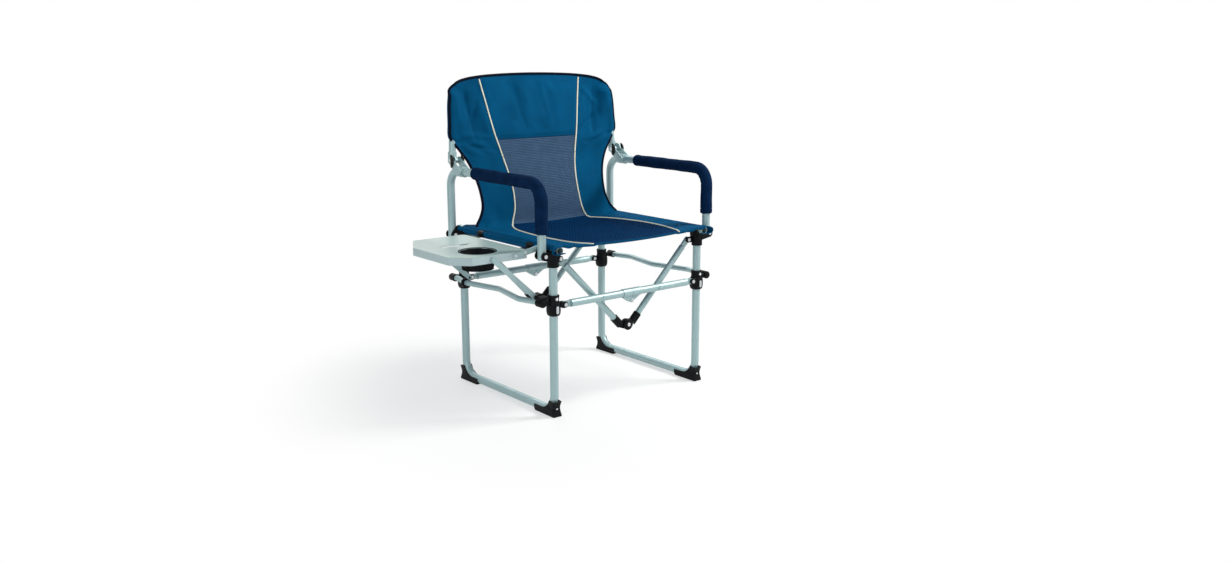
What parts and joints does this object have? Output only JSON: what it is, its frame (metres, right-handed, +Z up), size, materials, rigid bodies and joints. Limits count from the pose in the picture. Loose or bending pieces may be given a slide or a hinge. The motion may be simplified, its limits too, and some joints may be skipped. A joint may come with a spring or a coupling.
{
  "type": "folding camp chair",
  "caption": "Folding director style camp chair with tubular side frames, scissor linkage, cloth seat and back, foam arms and a drop-down side table.",
  "frame": {"origin": "on the floor, midway between the four legs", "axes": "+Z up, -Y the way the sitter faces, -X the side with the table"},
  "size_m": [0.8193, 0.4949, 0.863],
  "materials": {
    "frame": "satin powder coat",
    "black_plastic": "moulded, fine grain",
    "steel": "zinc plated",
    "foam": "soft foam tube",
    "table": "smooth, pale grey",
    "cloth": "woven polyester with mesh panels"
  },
  "bodies": {
    "left_frame": {"left_leg_frame": "frame", "left_seat_rail": "frame", "left_bracket_pins": "steel", "left_front_foot": "black_plastic", "left_rear_foot": "black_plastic", "left_front_bracket": "black_plastic", "left_rear_bracket": "black_plastic", "table_hinge_rod": "steel"},
    "left_slider": {"left_front_clamp": "black_plastic", "left_rear_clamp": "black_plastic", "left_side_stretcher": "frame", "left_clamp_fittings": "steel", "rear_prop_clip": "black_plastic"},
    "left_bars": {"left_front_crossbar": "frame", "left_rear_crossbar": "frame", "left_knuckles": "steel", "knuckle_pins": "steel"},
    "left_struts": {"left_front_strut": "frame", "left_rear_strut": "frame", "left_strut_hinges": "black_plastic"},
    "left_arm": {"left_arm_tube": "frame", "left_arm_foam": "foam", "left_back_bracket": "black_plastic", "left_back_pin": "steel"},
    "left_post": {"left_back_post": "frame", "left_post_lug": "steel"},
    "seat_left": {"left_seat_sling": "cloth", "left_lumbar_sling": "cloth"},
    "back_left": {"left_back_sling": "cloth"},
    "right_frame": {"right_leg_frame": "frame", "right_seat_rail": "frame", "right_bracket_pins": "steel", "right_front_foot": "black_plastic", "right_rear_foot": "black_plastic", "right_front_bracket": "black_plastic", "right_rear_bracket": "black_plastic"},
    "right_slider": {"right_front_clamp": "black_plastic", "right_rear_clamp": "black_plastic", "right_side_stretcher": "frame", "right_clamp_fittings": "steel"},
    "right_bars": {"right_front_crossbar": "frame", "right_rear_crossbar": "frame", "right_knuckles": "steel"},
    "right_struts": {"right_front_strut": "frame", "right_rear_strut": "frame", "right_strut_hinges": "black_plastic"},
    "right_arm": {"right_arm_tube": "frame", "right_arm_foam": "foam", "right_back_bracket": "black_plastic", "right_back_pin": "steel"},
    "right_post": {"right_back_post": "frame", "right_post_lug": "steel"},
    "seat_right": {"right_seat_sling": "cloth", "right_lumbar_sling": "cloth"},
    "back_right": {"right_back_sling": "cloth"},
    "table": {"table_top": "table", "cup_holder": "black_plastic", "table_hinges": "steel"},
    "table_props": {"table_props": "steel"}
  },
  "joints": [
    {"name": "fold", "type": "hinge", "parent": "left_slider", "child": "left_bars", "pos_m": [-0.223, 0, 0.296], "axis": [0, -1, 0], "range_deg": [0, 86.91], "deforming": ["left_seat_sling", "right_seat_sling", "left_back_sling", "right_back_sling", "left_lumbar_sling", "right_lumbar_sling"]},
    {"name": "left_slider_slide", "type": "slide", "parent": "left_frame", "child": "left_slider", "axis": [0, 0, -1], "range_m": [0, 0.17835]},
    {"name": "knuckle_hinge", "type": "hinge", "parent": "left_bars", "child": "right_bars", "pos_m": [0, 0, 0.276], "axis": [0, 1, 0], "range_deg": [0, 173.82]},
    {"name": "right_bar_hinge", "type": "hinge", "parent": "right_bars", "child": "right_slider", "pos_m": [0.223, 0, 0.296], "axis": [0, -1, 0], "range_deg": [0, 86.91]},
    {"name": "right_frame_slide", "type": "slide", "parent": "right_slider", "child": "right_frame", "axis": [0, 0, 1], "range_m": [0, 0.17835]},
    {"name": "left_strut_hinge", "type": "hinge", "parent": "left_frame", "child": "left_struts", "pos_m": [-0.223, 0, 0.412], "axis": [0, 1, 0], "range_deg": [0, 41.09]},
    {"name": "right_strut_hinge", "type": "hinge", "parent": "right_frame", "child": "right_struts", "pos_m": [0.223, 0, 0.412], "axis": [0, -1, 0], "range_deg": [0, 41.09]},
    {"name": "left_arm_hinge", "type": "hinge", "parent": "left_frame", "child": "left_arm", "pos_m": [-0.284, 0, 0.427], "axis": [0, -1, 0], "range_deg": [0, 172]},
    {"name": "right_arm_hinge", "type": "hinge", "parent": "right_frame", "child": "right_arm", "pos_m": [0.284, 0, 0.427], "axis": [0, 1, 0], "range_deg": [0, 172]},
    {"name": "back_fold", "type": "hinge", "parent": "left_arm", "child": "left_post", "pos_m": [-0.284, 0.188, 0.635], "axis": [1, 0, 0], "range_deg": [0, 90]},
    {"name": "right_post_hinge", "type": "hinge", "parent": "right_arm", "child": "right_post", "pos_m": [0.284, 0.188, 0.635], "axis": [1, 0, 0], "range_deg": [0, 90]},
    {"name": "table_hinge", "type": "hinge", "parent": "left_frame", "child": "table", "pos_m": [-0.272, 0, 0.445], "axis": [0, -1, 0], "range_deg": [0, 90]},
    {"name": "prop_hinge", "type": "hinge", "parent": "left_slider", "child": "table_props", "pos_m": [-0.29, 0, 0.319], "axis": [0, 1, 0], "range_deg": [0, 59.54]},
    {"name": "seat_side_hinge", "type": "hinge", "parent": "left_frame", "child": "seat_left", "pos_m": [-0.25, 0, 0.44], "axis": [0, 1, 0], "range_deg": [0, 76.12]},
    {"name": "seat_middle_hinge", "type": "hinge", "parent": "seat_left", "child": "seat_right", "pos_m": [0, 0, 0.439], "axis": [0, -1, 0], "range_deg": [0, 152.24]},
    {"name": "left_back_wrap", "type": "hinge", "parent": "left_post", "child": "back_left", "pos_m": [-0.284, 0.202, 0.635], "axis": [0, 0.0698, 0.9976], "range_deg": [0, 117.57]},
    {"name": "right_back_wrap", "type": "hinge", "parent": "right_post", "child": "back_right", "pos_m": [0.284, 0.202, 0.635], "axis": [0, -0.0698, -0.9976], "range_deg": [0, 117.57]}
  ],
  "couplings": [
    {"joint": "knuckle_hinge", "follows": "fold", "ratio": 2},
    {"joint": "right_bar_hinge", "follows": "fold", "ratio": 1},
    {"joint": "left_slider_slide", "follows": "fold", "m_per_rad": 0.11758},
    {"joint": "right_frame_slide", "follows": "fold", "m_per_rad": 0.11758},
    {"joint": "left_strut_hinge", "follows": "fold", "ratio": 0.47284},
    {"joint": "right_strut_hinge", "follows": "fold", "ratio": 0.47284},
    {"joint": "left_arm_hinge", "follows": "fold", "ratio": 1.9791},
    {"joint": "right_arm_hinge", "follows": "fold", "ratio": 1.9791},
    {"joint": "table_hinge", "follows": "fold", "ratio": 1.0356},
    {"joint": "prop_hinge", "follows": "fold", "ratio": 0.68506},
    {"joint": "seat_side_hinge", "follows": "fold", "ratio": 0.87587},
    {"joint": "seat_middle_hinge", "follows": "fold", "ratio": 1.7517},
    {"joint": "left_back_wrap", "follows": "fold", "ratio": 1.3528},
    {"joint": "right_back_wrap", "follows": "fold", "ratio": 1.3528},
    {"joint": "right_post_hinge", "follows": "back_fold", "ratio": 1}
  ]
}
